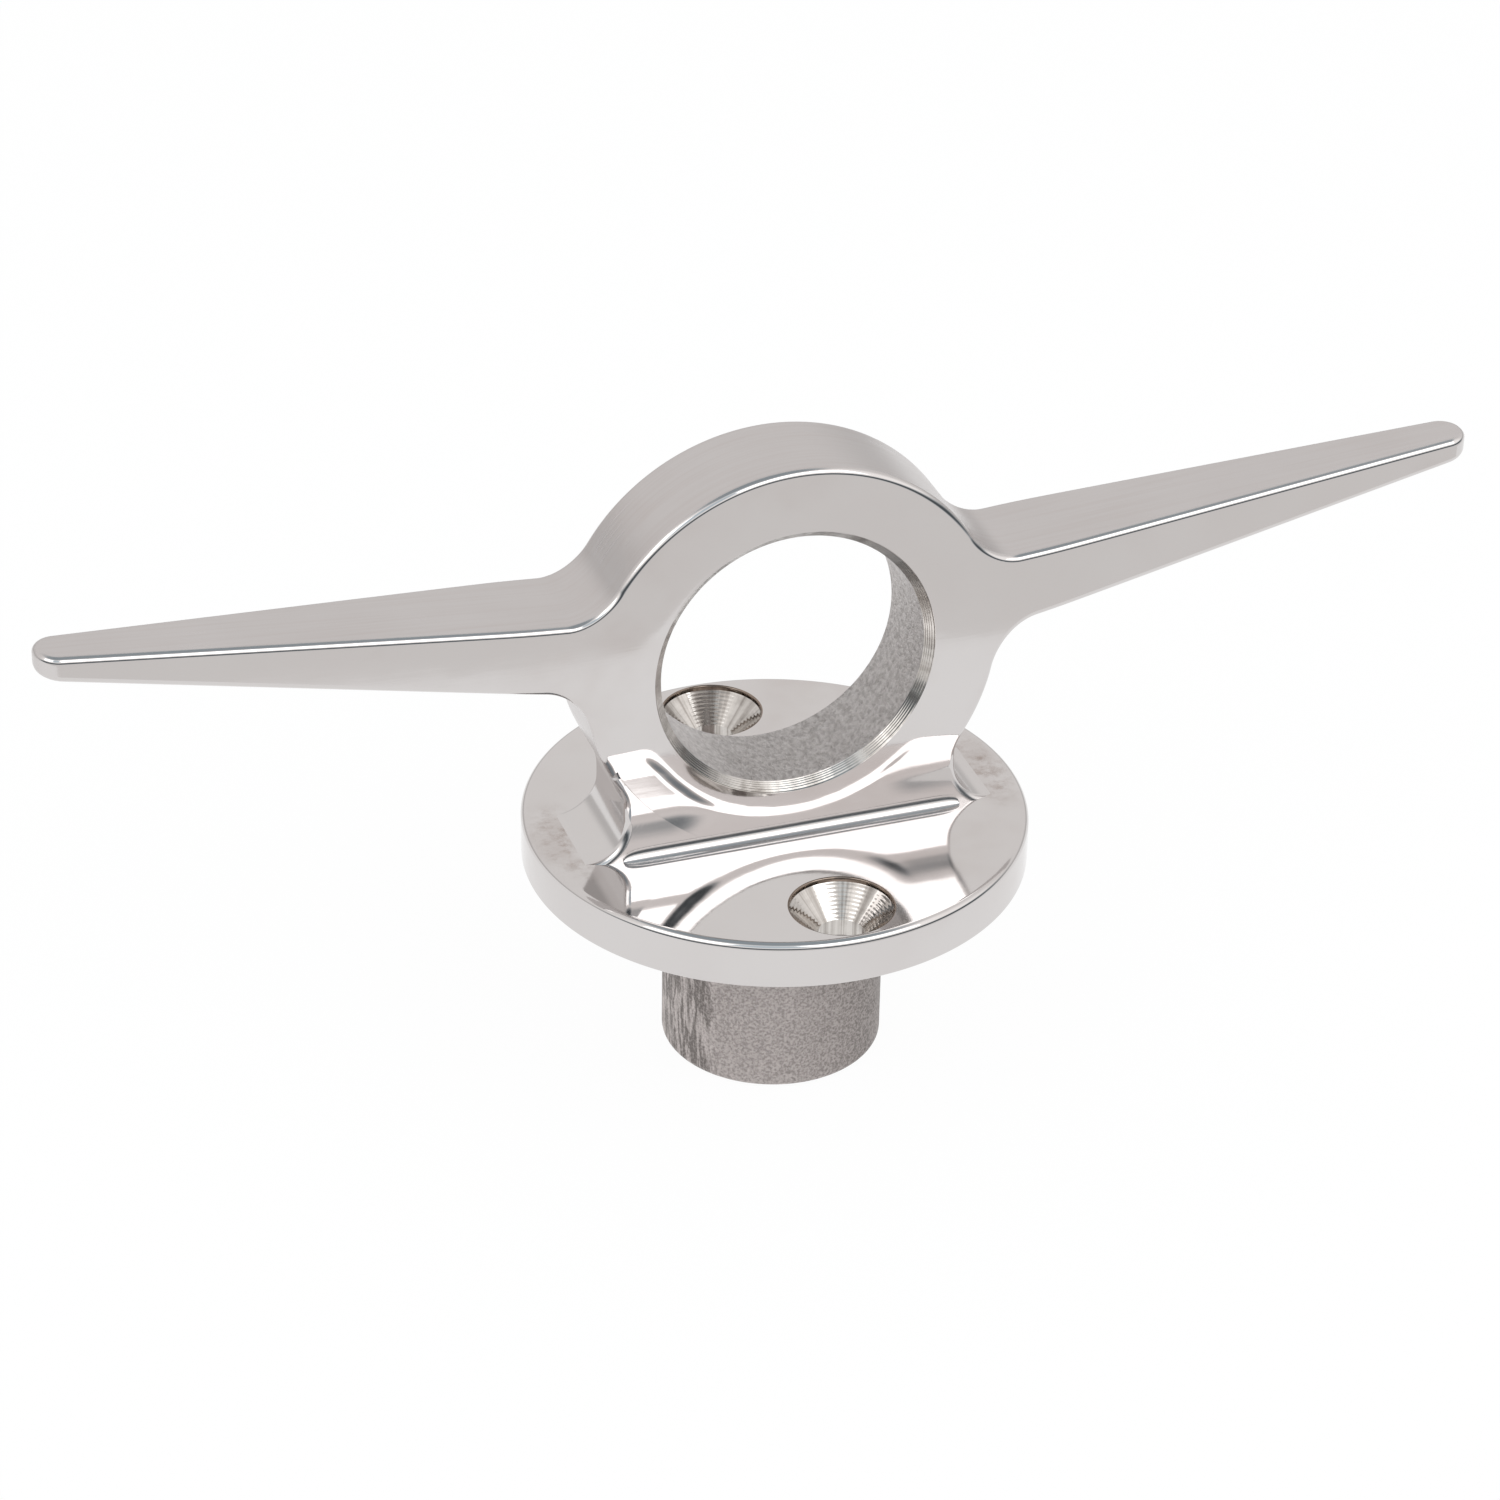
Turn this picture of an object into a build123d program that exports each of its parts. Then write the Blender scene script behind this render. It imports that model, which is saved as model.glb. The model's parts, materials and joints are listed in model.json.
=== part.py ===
from build123d import *
import os

# Ring-eye mooring cleat, welded up from stainless bar, ring and plate.
# Millimetres. X runs along the horns, Y along the eye's bore, Z up.
# The origin is the middle of the flange's underside, where the spigot enters the deck.

# flange and spigot
flange_radius = 35.0
flange_thickness = 6.8
flange_top_round = 1.0
flange_bottom_round = 0.5
spigot_radius = 15.4
spigot_length = 29.9
spigot_bottom_round = 1.0
tenon_radius = 7.0
spigot_weld_depth = 1.0
spigot_weld_width = 2.0

# countersunk screw holes, on a line across the horns
screw_spacing = 53.4
screw_hole_radius = 3.3
countersink_radius = 7.0
countersink_lip = 0.7

# ring eye
eye_height = flange_thickness + 26.5
ring_radius = 29.1
ring_depth = 15.0
bore_radius = 18.7
bore_chamfer = 1.2
land_radius = 22.0

# horns: straight top and bottom lines in side view, straight taper in plan
horn_reach = 100.8
horn_top_height = flange_thickness + 35.2
horn_top_slope = 0.0755
horn_bottom_height = flange_thickness + 21.6
horn_bottom_slope = 0.177
horn_taper_start = 37.0
horn_taper_blend = 60.0
horn_tip_half_width = 3.3
horn_tip_round = 3.1
horn_joint = 31.5

# foot, and the concave weld beads that join it to the flange
neck_half_length = 23.85
foot_joint_radius = 28.0
foot_joint_top = flange_thickness + 13.2
side_weld_size = 1.4
end_weld_size = 5.6
side_weld_half_length = 22.9
end_weld_half_length = 6.9
weld_fullness = 0.03

# polishing: blends, broken edges and the shallow hollow outside the eye's land
horn_top_blend = 7.0
horn_bottom_blend = 7.5
foot_blend = 6.0
edge_round = 1.0
hollow_bottom = flange_thickness + 1.6
hollow_height = 12.0
hollow_depth = 0.6

half_depth = ring_depth / 2


def y_cylinder(radius, length):
    """Cylinder along Y about the eye's centre."""
    return Pos(0, 0, eye_height) * Rot(X=90) * Cylinder(radius, length)


def block(x, y, z):
    """Box between two limits along each axis."""
    size = [pair[1] - pair[0] for pair in (x, y, z)]
    middle = [(pair[0] + pair[1]) / 2 for pair in (x, y, z)]
    return Pos(*middle) * Box(*size)


def side_view():
    """Outline of ring, horns and foot seen along Y, with the concave corners blended."""
    outline = Pos(0, eye_height) * Circle(ring_radius)
    inner = 10.0
    for side in (-1, 1):
        corners = [
            (side * inner, horn_top_height + horn_top_slope * inner),
            (side * horn_reach, horn_top_height + horn_top_slope * horn_reach),
            (side * horn_reach, horn_bottom_height + horn_bottom_slope * horn_reach),
            (side * inner, horn_bottom_height + horn_bottom_slope * inner),
        ]
        outline += make_face(Polyline(*corners, close=True))
    neck_top = eye_height - 10
    outline += Pos(0, (flange_thickness + neck_top) / 2) * Rectangle(
        2 * neck_half_length, neck_top - flange_thickness
    )
    # the part of the ring that would reach into the flange is milled flat
    outline -= Pos(0, flange_thickness / 2) * Rectangle(80, flange_thickness)
    return blend_corners(outline)


def blend_corners(outline):
    """Fillet the corners where the ring's circle meets the horns and the foot."""
    def on_ring(vertex):
        reach = Vector(vertex.X, vertex.Y - eye_height).length
        return abs(reach - ring_radius) < 1e-3

    for low, high, radius in (
        (horn_top_height - 3, horn_top_height + 10, horn_top_blend),
        (horn_bottom_height - 3, horn_top_height - 4, horn_bottom_blend),
        (flange_thickness + 1, foot_joint_top, foot_blend),
    ):
        corners = [v for v in outline.vertices() if on_ring(v) and low < v.Y < high]
        outline = fillet(corners, radius)
    return outline


def plan_view():
    """Outline seen from above: full depth at the ring, tapering to rounded horn tips."""
    outline = Rectangle(2 * horn_taper_start, ring_depth)
    for side in (-1, 1):
        corners = [
            (side * horn_taper_start, -half_depth),
            (side * horn_reach, -horn_tip_half_width),
            (side * horn_reach, horn_tip_half_width),
            (side * horn_taper_start, half_depth),
        ]
        outline += make_face(Polyline(*corners, close=True))
    tips = [v for v in outline.vertices() if abs(v.X) > horn_reach - 1]
    outline = fillet(tips, horn_tip_round)
    shoulders = [v for v in outline.vertices() if abs(abs(v.X) - horn_taper_start) < 0.1]
    return fillet(shoulders, horn_taper_blend)


def upper_works():
    """Ring, horns and foot as one polished shape, before it is divided into its pieces."""
    slab = extrude(Plane.XZ * side_view(), half_depth, both=True)
    taper = extrude(Plane.XY * plan_view(), 100)
    body = slab & taper
    edges = [e for e in body.edges() if is_polished_edge(e)]
    body = fillet(edges, edge_round)
    for face in (-1, 1):
        body -= polishing_hollow(face)
    body -= y_cylinder(bore_radius, ring_depth + 2)
    for face in (-1, 1):
        cone = Cone(bore_radius, bore_radius + 2 * bore_chamfer, 2 * bore_chamfer)
        body -= Pos(0, face * half_depth, eye_height) * Rot(X=-90 * face) * cone
    return body


def is_polished_edge(edge):
    """True for the long outline edges on the front and rear, above the flange."""
    middle = edge @ 0.5
    return middle.Z > flange_thickness + 0.05 and abs(edge.tangent_at(0.5).Y) < 0.9


def polishing_hollow(face):
    """Shallow cylindrical scoop below the eye that stops at the land round the bore."""
    half = hollow_height / 2
    radius = (half**2 + hollow_depth**2) / (2 * hollow_depth)
    centre_y = face * (half_depth + radius - hollow_depth)
    scoop = Pos(0, centre_y, hollow_bottom + half) * Rot(Y=90) * Cylinder(radius, 70)
    return scoop - y_cylinder(land_radius, 4 * ring_depth)


def foot_weld(size, wall, half_length, turn):
    """Concave bead in the corner between a wall of the foot and the flange, turned about Z."""
    toe = wall + size
    top = flange_thickness + size
    middle = size * (1 - 0.5**0.5 + weld_fullness)
    arc = ThreePointArc((wall, top), (wall + middle, flange_thickness + middle), (toe, flange_thickness))
    legs = Polyline((toe, flange_thickness), (wall, flange_thickness), (wall, top))
    bead = extrude(Plane.XZ * make_face(legs + arc), half_length, both=True)
    return Rot(Z=turn) * bead


def cone_up(low_radius, high_radius, low, high):
    """Cone about Z between two heights."""
    return Pos(0, 0, (low + high) / 2) * Cone(low_radius, high_radius, high - low)


def base_flange():
    """Deck flange with its countersunk screw holes and a flared seat for the spigot."""
    flange = Pos(0, 0, flange_thickness / 2) * Cylinder(flange_radius, flange_thickness)
    rims = flange.edges().filter_by(GeomType.CIRCLE).sort_by(Axis.Z)
    flange = fillet(rims[-1], flange_top_round)
    rims = flange.edges().filter_by(GeomType.CIRCLE).sort_by(Axis.Z)
    flange = fillet(rims[0], flange_bottom_round)
    flange -= Pos(0, 0, flange_thickness / 2) * Cylinder(tenon_radius, 2 * flange_thickness)
    flange -= spigot_seat()
    cone_depth = countersink_radius - screw_hole_radius
    cone_top = flange_thickness - countersink_lip
    for side in (-1, 1):
        at = Pos(0, side * screw_spacing / 2, 0)
        flange -= at * Cylinder(screw_hole_radius, 4 * flange_thickness)
        flange -= at * cone_up(screw_hole_radius, countersink_radius, cone_top - cone_depth, cone_top)
        flange -= at * Pos(0, 0, cone_top + 2) * Cylinder(countersink_radius, 4)
    return flange


def spigot_seat():
    """Flared pocket in the flange's underside, wider than the spigot's chamfered shoulder."""
    shoulder = spigot_radius - spigot_weld_width / 2
    return cone_up(shoulder + spigot_weld_width, shoulder, 0, spigot_weld_depth)


def spigot():
    """Stub with a rounded foot, a chamfered shoulder and a tenon through the flange."""
    stub = Pos(0, 0, -spigot_length / 2) * Cylinder(spigot_radius, spigot_length)
    rims = stub.edges().filter_by(GeomType.CIRCLE).sort_by(Axis.Z)
    stub = fillet(rims[0], spigot_bottom_round)
    stub += cone_up(spigot_radius, spigot_radius - spigot_weld_width / 2, 0, spigot_weld_depth)
    return stub + Pos(0, 0, flange_thickness / 2) * Cylinder(tenon_radius, flange_thickness)


def spigot_weld():
    """Ring of weld in the groove round the spigot, ground flush with the deck seat."""
    return spigot_seat() - spigot()


def divided(body):
    """The upper works cut at its joints: butt joints at the horns, curved seats for the feet."""
    below_joint = block((-40, 40), (-10, 10), (0, foot_joint_top))
    outside_joint = below_joint - y_cylinder(foot_joint_radius, 30)
    pieces = {}
    ring = body
    for side, name in ((-1, "left"), (1, "right")):
        horn_zone = block(sorted((side * horn_joint, side * 120)), (-10, 10), (0, 80))
        foot_zone = outside_joint & block(sorted((0, side * 40)), (-10, 10), (0, 40))
        pieces["horn_" + name] = body & horn_zone
        pieces["foot_" + name] = body & foot_zone
        ring = ring - horn_zone - foot_zone
    pieces["ring_eye"] = ring
    return pieces


nodes = divided(upper_works())
for place, turn in (("rear", 90), ("front", -90)):
    nodes["foot_weld_" + place] = foot_weld(side_weld_size, half_depth, side_weld_half_length, turn)
for place, turn in (("right", 0), ("left", 180)):
    nodes["foot_weld_" + place] = foot_weld(end_weld_size, neck_half_length, end_weld_half_length, turn)
nodes["base_flange"] = base_flange()
nodes["spigot"] = spigot()
nodes["spigot_weld"] = spigot_weld()

os.makedirs("parts", exist_ok=True)
for name, shape in nodes.items():
    export_step(shape, f"parts/{name}.step")
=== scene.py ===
import json
import math
import bpy
import numpy as np
from mathutils import Matrix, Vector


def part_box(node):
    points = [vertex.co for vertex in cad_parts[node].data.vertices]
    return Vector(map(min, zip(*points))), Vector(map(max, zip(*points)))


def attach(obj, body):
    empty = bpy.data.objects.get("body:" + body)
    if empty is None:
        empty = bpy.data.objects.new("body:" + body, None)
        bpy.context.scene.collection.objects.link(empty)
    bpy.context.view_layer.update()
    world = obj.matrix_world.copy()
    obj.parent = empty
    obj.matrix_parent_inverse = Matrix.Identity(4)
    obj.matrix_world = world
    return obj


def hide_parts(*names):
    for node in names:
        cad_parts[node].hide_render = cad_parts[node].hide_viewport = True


# Ring-eye mooring cleat in polished stainless steel. Shapes are worked out in millimetres
# and put into their meshes in metres, in the frame the CAD pieces arrive in.

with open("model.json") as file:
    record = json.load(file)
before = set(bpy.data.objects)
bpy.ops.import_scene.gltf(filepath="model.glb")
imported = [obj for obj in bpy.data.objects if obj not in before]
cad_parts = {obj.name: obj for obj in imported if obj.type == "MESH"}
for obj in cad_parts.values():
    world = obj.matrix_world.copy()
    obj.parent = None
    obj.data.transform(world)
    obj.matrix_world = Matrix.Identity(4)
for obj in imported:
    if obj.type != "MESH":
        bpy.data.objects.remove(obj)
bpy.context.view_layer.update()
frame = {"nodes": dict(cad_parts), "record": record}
print("frame loaded:", len(frame["nodes"]), "nodes")


def nodeBox(node):
    # Lowest and highest corner of a CAD node, in millimetres.
    low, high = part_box(node)
    return np.array(low) * 1000, np.array(high) * 1000


mounts = {mount["name"]: mount for mount in frame["record"]["mounts"]}
flangeTop = nodeBox("base_flange")[1][2]
flangeRadius = nodeBox("base_flange")[1][0]
eyeHeight = mounts["line_eye"]["pos_m"][2] * 1000
boreRadius = mounts["line_eye"]["dims"]["r_mm"]
ringRadius = nodeBox("ring_eye")[1][2] - eyeHeight
hornReach = nodeBox("horn_right")[1][0]
hornJoint = nodeBox("horn_right")[0][0]
halfDepth = nodeBox("ring_eye")[1][1]
spigotRadius = mounts["spigot"]["dims"]["r_mm"]
spigotBottom = nodeBox("spigot")[0][2]
screwReach = mounts["screw_holes"]["dims"]["spacing_y_mm"] / 2
screwRadius = mounts["screw_holes"]["dims"]["hole_r_mm"]


cameraSettings = {
    "target": (-4.39, 0.0, 13.65),  # the point it looks at, millimetres
    "distance": 641.4,
    "azimuth": -19.76,  # degrees from the front, towards the left horn
    "elevation": 31.48,
    "roll": 0.93,
    "lens": 112.56,  # millimetres on a 36 mm sensor
    "shift": (0.0031, 0.0117),
}


def addCamera(settings):
    # Camera on a sphere round its target, then turned about its own axis by the roll.
    around = math.radians(settings["azimuth"])
    above = math.radians(settings["elevation"])
    tilt = math.radians(settings["roll"])
    back = np.array([
        math.sin(around) * math.cos(above), -math.cos(around) * math.cos(above), math.sin(above)
    ])
    right = np.array([math.cos(around), math.sin(around), 0])
    up = np.cross(back, right)
    right, up = (
        math.cos(tilt) * right + math.sin(tilt) * up,
        -math.sin(tilt) * right + math.cos(tilt) * up,
    )
    place = (np.array(settings["target"]) + settings["distance"] * back) * 0.001
    data = bpy.data.cameras.new("camera")
    data.lens = settings["lens"]
    data.sensor_width = 36
    data.shift_x, data.shift_y = settings["shift"]
    data.clip_start = 0.01
    camera = bpy.data.objects.new("camera", data)
    bpy.context.scene.collection.objects.link(camera)
    matrix = np.eye(4)
    matrix[:3, 0], matrix[:3, 1], matrix[:3, 2], matrix[:3, 3] = right, up, back, place
    camera.matrix_world = Matrix(matrix.tolist())
    bpy.context.scene.camera = camera
    return camera


addCamera(cameraSettings)
print("camera placed")


class Wire:
    # A socket in a node tree; arithmetic on it adds Math nodes.
    def __init__(self, tree, socket):
        self.tree = tree
        self.socket = socket

    def node(self, kind, settings=None, inputs=None, output=0):
        # Adds a node: its settings first, then the values or links of its sockets.
        made = self.tree.nodes.new(kind)
        for name, value in (settings or {}).items():
            if name == "stops":
                ramp = made.color_ramp
                while len(ramp.elements) < len(value):
                    ramp.elements.new(0.5)
                for element, (place, colour) in zip(ramp.elements, value):
                    element.position = place
                    element.color = (*colour, 1)
            else:
                setattr(made, name, value)
        for name, value in (inputs or {}).items():
            if isinstance(value, Wire):
                self.tree.links.new(value.socket, made.inputs[name])
            else:
                made.inputs[name].default_value = value
        return Wire(self.tree, made.outputs[output])

    def math(self, operation, *others):
        values = {index: value for index, value in enumerate((self, *others))}
        return self.node("ShaderNodeMath", {"operation": operation}, values)

    def __add__(self, other):
        return self.math("ADD", other)

    def __radd__(self, other):
        return self.math("ADD", other)

    def __sub__(self, other):
        return self.math("SUBTRACT", other)

    def __rsub__(self, other):
        return self.math("MULTIPLY", -1.0) + other

    def __mul__(self, other):
        return self.math("MULTIPLY", other)

    def __rmul__(self, other):
        return self.math("MULTIPLY", other)

    def __truediv__(self, other):
        return self.math("DIVIDE", other)

    def __pow__(self, other):
        return self.math("POWER", other)

    def step(self, low, high):
        # 0 below low, 1 above high, smooth between.
        return self.node(
            "ShaderNodeMapRange",
            {"interpolation_type": "SMOOTHSTEP", "clamp": True},
            {"Value": self, "From Min": low, "From Max": high},
        )

    def part(self, index):
        return self.node("ShaderNodeSeparateXYZ", None, {0: self}, index)

    def blend(self, first, second):
        # Colour first where this is 0, second where it is 1.
        return self.node(
            "ShaderNodeMix", {"data_type": "RGBA"}, {0: self, 6: first, 7: second}, 2
        )

    def noise(self, scale, detail=3.0, rough=0.55, stretch=(1, 1, 1)):
        # Noise on this vector, in features per metre, drawn out where stretch is small.
        size = tuple(scale * s for s in stretch)
        where = self.node("ShaderNodeVectorMath", {"operation": "MULTIPLY"}, {0: self, 1: size})
        return self.node(
            "ShaderNodeTexNoise",
            {"noise_dimensions": "3D"},
            {"Vector": where, "Scale": 1.0, "Detail": detail, "Roughness": rough},
        )


def newMaterial(name):
    # Material with only a Principled shader and an output; returns it, its shader and a start wire.
    material = bpy.data.materials.new(name)
    material.use_nodes = True
    tree = material.node_tree
    shader = next(node for node in tree.nodes if node.type == "BSDF_PRINCIPLED")
    coordinates = tree.nodes.new("ShaderNodeTexCoord")
    return material, shader, Wire(tree, coordinates.outputs["Object"])


def feed(shader, name, wire):
    # Links a wire to one of the shader's sockets.
    wire.tree.links.new(wire.socket, shader.inputs[name])


def addBumps(shader, layers):
    # Chains Bump nodes: each layer is a height wire, its depth in metres and its strength.
    normal = None
    for height, depth, strength in layers:
        inputs = {"Height": height, "Distance": depth, "Strength": strength}
        if normal is not None:
            inputs["Normal"] = normal
        normal = height.node("ShaderNodeBump", None, inputs)
    feed(shader, "Normal", normal)


polishSettings = {
    "colour": (0.655, 0.632, 0.625),
    "satinColour": (0.60, 0.575, 0.57),  # of tops and rims
    "warmColour": (0.52, 0.465, 0.445),  # of smudges and the satin's dark streaks
    "stainColour": (0.30, 0.225, 0.19),
    "roughness": 0.055,
    "satinRoughness": 0.24,
    "waviness": 0.00006,  # depth of the buffing waves, metres
    "stainReach": 0.0305,  # distance of the heat stains from the middle, metres
    "stainAmount": 0.48,
}


def makePolished(name, settings, stained=False):
    # Buffed stainless steel: a mirror on the faces, a satin grain along tops and rims.
    material, shader, place = newMaterial(name)
    shader.inputs["Metallic"].default_value = 1.0
    facing = place.node("ShaderNodeNewGeometry", None, None, 1)
    sideways = facing.part(1).math("ABSOLUTE")
    height = place.part(2)
    topHeight = flangeTop * 0.001
    satin = (1 - sideways.step(0.15, 0.75)) * height.step(topHeight + 0.010, topHeight + 0.018)
    cloud = place.noise(55, 3.0, 0.5)
    smudge = place.noise(30, 4.0, 0.6, (1, 1, 1.3)).step(0.55, 0.75)
    streaks = place.noise(1700, 3.0, 0.65, (0.022, 1.0, 0.022))  # lengthwise on tops and rims
    rubbed = place.noise(900, 3.0, 0.6, (0.05, 1.0, 1.0))  # lengthwise on the faces
    tint = smudge * 0.35 + cloud.step(0.3, 0.7) * 0.12 + satin * streaks.step(0.35, 0.8) * 0.30
    clean = satin.blend((*settings["colour"], 1), (*settings["satinColour"], 1))
    colour = tint.blend(clean, (*settings["warmColour"], 1))
    rough = settings["roughness"] + satin * (settings["satinRoughness"] - settings["roughness"]) \
        + cloud.step(0.35, 0.75) * 0.045 + satin * streaks * 0.08
    if stained:
        across = place.part(0).math("ABSOLUTE") - settings["stainReach"]
        along = place.part(1) * 0.4  # the stains are longer than they are wide
        near = 1 - (across * across + along * along).math("SQRT").step(0.0012, 0.0052)
        burn = near * place.noise(420, 4.0, 0.7).step(0.40, 0.72)
        haze = near * place.noise(160, 3.0, 0.6).step(0.35, 0.65) * 0.25
        stain = (burn * settings["stainAmount"] + haze).math("MINIMUM", 0.8)
        colour = stain.blend(colour, (*settings["stainColour"], 1))
        rough = rough + burn * 0.25
    feed(shader, "Base Color", colour)
    feed(shader, "Roughness", rough)
    scratch = place.noise(500, 2.0, 0.5, (0.02, 1.0, 0.6)).step(0.66, 0.72)
    addBumps(shader, [
        (place.noise(75, 2.0, 0.5), settings["waviness"], 0.6),
        (streaks * satin, 0.00003, 0.35),
        (rubbed * (1 - satin), 0.00001, 0.20),
        (scratch * satin, 0.00002, 0.5),
    ])
    return material


boreSettings = {
    "light": (0.64, 0.61, 0.60),
    "dark": (0.14, 0.12, 0.11),
}


def makeRoughBore(name, settings):
    # Cast skin of the bore wall: matt, wrinkled and pitted, with dark smudges.
    material, shader, place = newMaterial(name)
    shader.inputs["Metallic"].default_value = 1.0
    blotch = place.noise(110, 4.0, 0.65).step(0.55, 0.72)
    speck = place.noise(1300, 3.0, 0.75)
    wrinkle = place.noise(1500, 4.0, 0.65, (1, 0.7, 1))
    shade = blotch * 0.32 + speck.step(0.40, 0.75) * 0.22 + wrinkle.step(0.38, 0.64) * 0.34
    shade = shade.math("MINIMUM", 1.0)
    feed(shader, "Base Color", shade.blend((*settings["light"], 1), (*settings["dark"], 1)))
    feed(shader, "Roughness", 0.26 + speck * 0.18)
    addBumps(shader, [
        (wrinkle, 0.0008, 0.9),
        (speck, 0.00022, 0.7),
    ])
    return material


turnedSettings = {"bright": (0.66, 0.63, 0.60), "dull": (0.17, 0.145, 0.125), "streaks": 0.6}
lipSettings = {"bright": (0.30, 0.24, 0.20), "dull": (0.10, 0.075, 0.06), "streaks": 0.2}


def makeTurned(name, settings):
    # Freshly cut steel of chamfers and countersinks, bright with dull streaks across the cut,
    # which follow the angle round the screw hole, or above the flange round the eye.
    material, shader, place = newMaterial(name)
    shader.inputs["Metallic"].default_value = 1.0
    fromHole = place.part(1).math("ABSOLUTE") - screwReach * 0.001
    around = place.part(0).math("ARCTAN2", fromHole) * 0.01
    low = 1 - place.part(2).step(flangeTop * 0.001 + 0.0005, flangeTop * 0.001 + 0.001)
    eyeAround = (place.part(2) - eyeHeight * 0.001).math("ARCTAN2", place.part(0)) * 0.01
    turn = low * around + (1 - low) * eyeAround
    streak = turn.node("ShaderNodeCombineXYZ", None, {"X": turn, "Y": 0.0, "Z": 0.0})
    cloudy = place.noise(260, 4.0, 0.65).step(0.45, 0.7) * 0.35
    streaks = streak.noise(260, 3.0, 0.7).step(0.42, 0.62)
    film = (streaks * settings["streaks"] + cloudy).math("MINIMUM", 1.0)
    feed(shader, "Base Color", (film * 0.85).blend((*settings["bright"], 1), (*settings["dull"], 1)))
    feed(shader, "Roughness", 0.07 + film * 0.12)
    addBumps(shader, [(place.noise(900, 2.0, 0.6), 0.00003, 0.3)])
    return material


blastedSettings = {
    "light": (0.56, 0.51, 0.495),
    "dark": (0.20, 0.18, 0.17),
    "fileLean": 9,  # degrees of the file marks off upright
    # painted shade: how much the spigot's colour is darkened towards the right, standing in for the
    # darker surroundings it reflects there
    "grime": 0.42,  # darkening towards the right
}


def makeBlasted(name, settings):
    # Matt, grainy spigot skin with slanting file marks near its left and right edges, and painted shade
    # that darkens its colour towards the right.
    material, shader, place = newMaterial(name)
    shader.inputs["Metallic"].default_value = 1.0
    grain = place.noise(2600, 2.0, 0.7)
    cloud = place.noise(140, 3.0, 0.5)
    slant = place.node("ShaderNodeMapping", {"vector_type": "POINT"},
                       {"Vector": place, "Rotation": (0.0, math.radians(settings["fileLean"]), 0.0)})
    marks = slant.noise(1500, 2.0, 0.6, (1.0, 1.0, 0.07))
    # painted shade: base colour darkened by position towards the right, not a stain on the metal
    grime = place.part(0).step(-0.006, 0.015) * settings["grime"]
    side = place.part(0) - 0.0012
    filed = (1 - side.step(-0.0145, -0.0122)) + side.step(0.0125, 0.0140)
    filing = filed * (marks.step(0.38, 0.60) * 0.85 - 0.25)
    shade = grain.step(0.36, 0.66) * 0.52 + cloud * 0.22 + grime + filing
    shade = shade.math("MINIMUM", 1.0).math("MAXIMUM", 0.0)
    feed(shader, "Base Color", shade.blend((*settings["light"], 1), (*settings["dark"], 1)))
    feed(shader, "Roughness", 0.40 + grain * 0.22)
    addBumps(shader, [
        (grain, 0.00022, 0.9),
        (marks * filed, 0.0005, 0.9),
    ])
    return material


polished = makePolished("buffedStainless", polishSettings)
buffedFlange = makePolished("buffedFlange", polishSettings, stained=True)
weldBuffed = makePolished("buffedWeld", {**polishSettings, "roughness": 0.15})
roughBore = makeRoughBore("castSkin", boreSettings)
turned = makeTurned("turnedSteel", turnedSettings)
heatedLip = makeTurned("heatedLip", lipSettings)
blasted = makeBlasted("blastedSteel", blastedSettings)
print("materials made")


upper = {
    "edgeRound": 1.0,
    "boreChamfer": 1.2,
    "land": 22.0,
    "topHeight": 35.2,  # horn lines above the flange at the middle, and their slopes
    "topSlope": 0.0755,
    "bottomHeight": 21.6,
    "bottomSlope": 0.177,
    "topBlend": 4.6,
    "bottomBlend": 5.7,
    "footBlend": 1.0,
    "taperStart": 37.0,
    "tipHalfWidth": 3.3,
    "tipRound": 3.1,
    "neckHalf": 23.85,
    "flare": 5.6,  # concave flare from the neck's ends down to the flange
    "footSeat": 28.0,  # radius of the curved seat between ring and foot
    "footTop": -28.0,  # degrees round the eye where the foot pieces end
}
edge = upper["edgeRound"]
taperSlope = (halfDepth - upper["tipHalfWidth"]) / (hornReach - upper["taperStart"])


def smooth(low, high, value):
    # 0 to 1 between low and high, with level ends.
    t = np.clip((value - low) / (high - low), 0, 1)
    return t * t * (3 - 2 * t)


def joinOf(a, b, k):
    # Union of two depths, with a fillet of size k in the corner between them.
    fillet = np.hypot(np.maximum(k + a, 0), np.maximum(k + b, 0))
    return np.minimum(-k, np.maximum(a, b)) + fillet


def meetOf(a, b, r):
    # Intersection of two depths, with the edge between them rounded by r.
    rounding = np.hypot(np.maximum(r - a, 0), np.maximum(r - b, 0))
    return np.maximum(r, np.minimum(a, b)) - rounding


def sideDepth(x, z):
    # Depth inside the side view: ring, then horns, then the neck with its flare down to the
    # flange, joined with fillets.
    across = np.abs(x)
    ring = ringRadius - np.hypot(x, z - eyeHeight)
    top = flangeTop + upper["topHeight"] + upper["topSlope"] * across - z
    bottom = z - flangeTop - upper["bottomHeight"] - upper["bottomSlope"] * across
    top, bottom = top / math.hypot(1, upper["topSlope"]), bottom / math.hypot(1, upper["bottomSlope"])
    horn = np.minimum(top, bottom)
    size = np.where(z > eyeHeight + 4, upper["topBlend"], upper["bottomBlend"])
    flared = joinOf(upper["neckHalf"] - across, flangeTop - z, upper["flare"])
    neck = np.minimum(flared, eyeHeight - 10 - z)
    return joinOf(joinOf(ring, horn, size), neck, upper["footBlend"])


dishes = {  # how deep polishing has dished the face
    "left": (0.70, 12.5, 17.5),  # depth, and the heights above the flange between which it fades
    "right": (0.55, 7.5, 12.0),
    "middle": (0.30, 5.0, 9.0),
    "lip": (0.10, 1.8),  # depth at the bore's chamfer, and how fast it fades outwards
}


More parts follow.
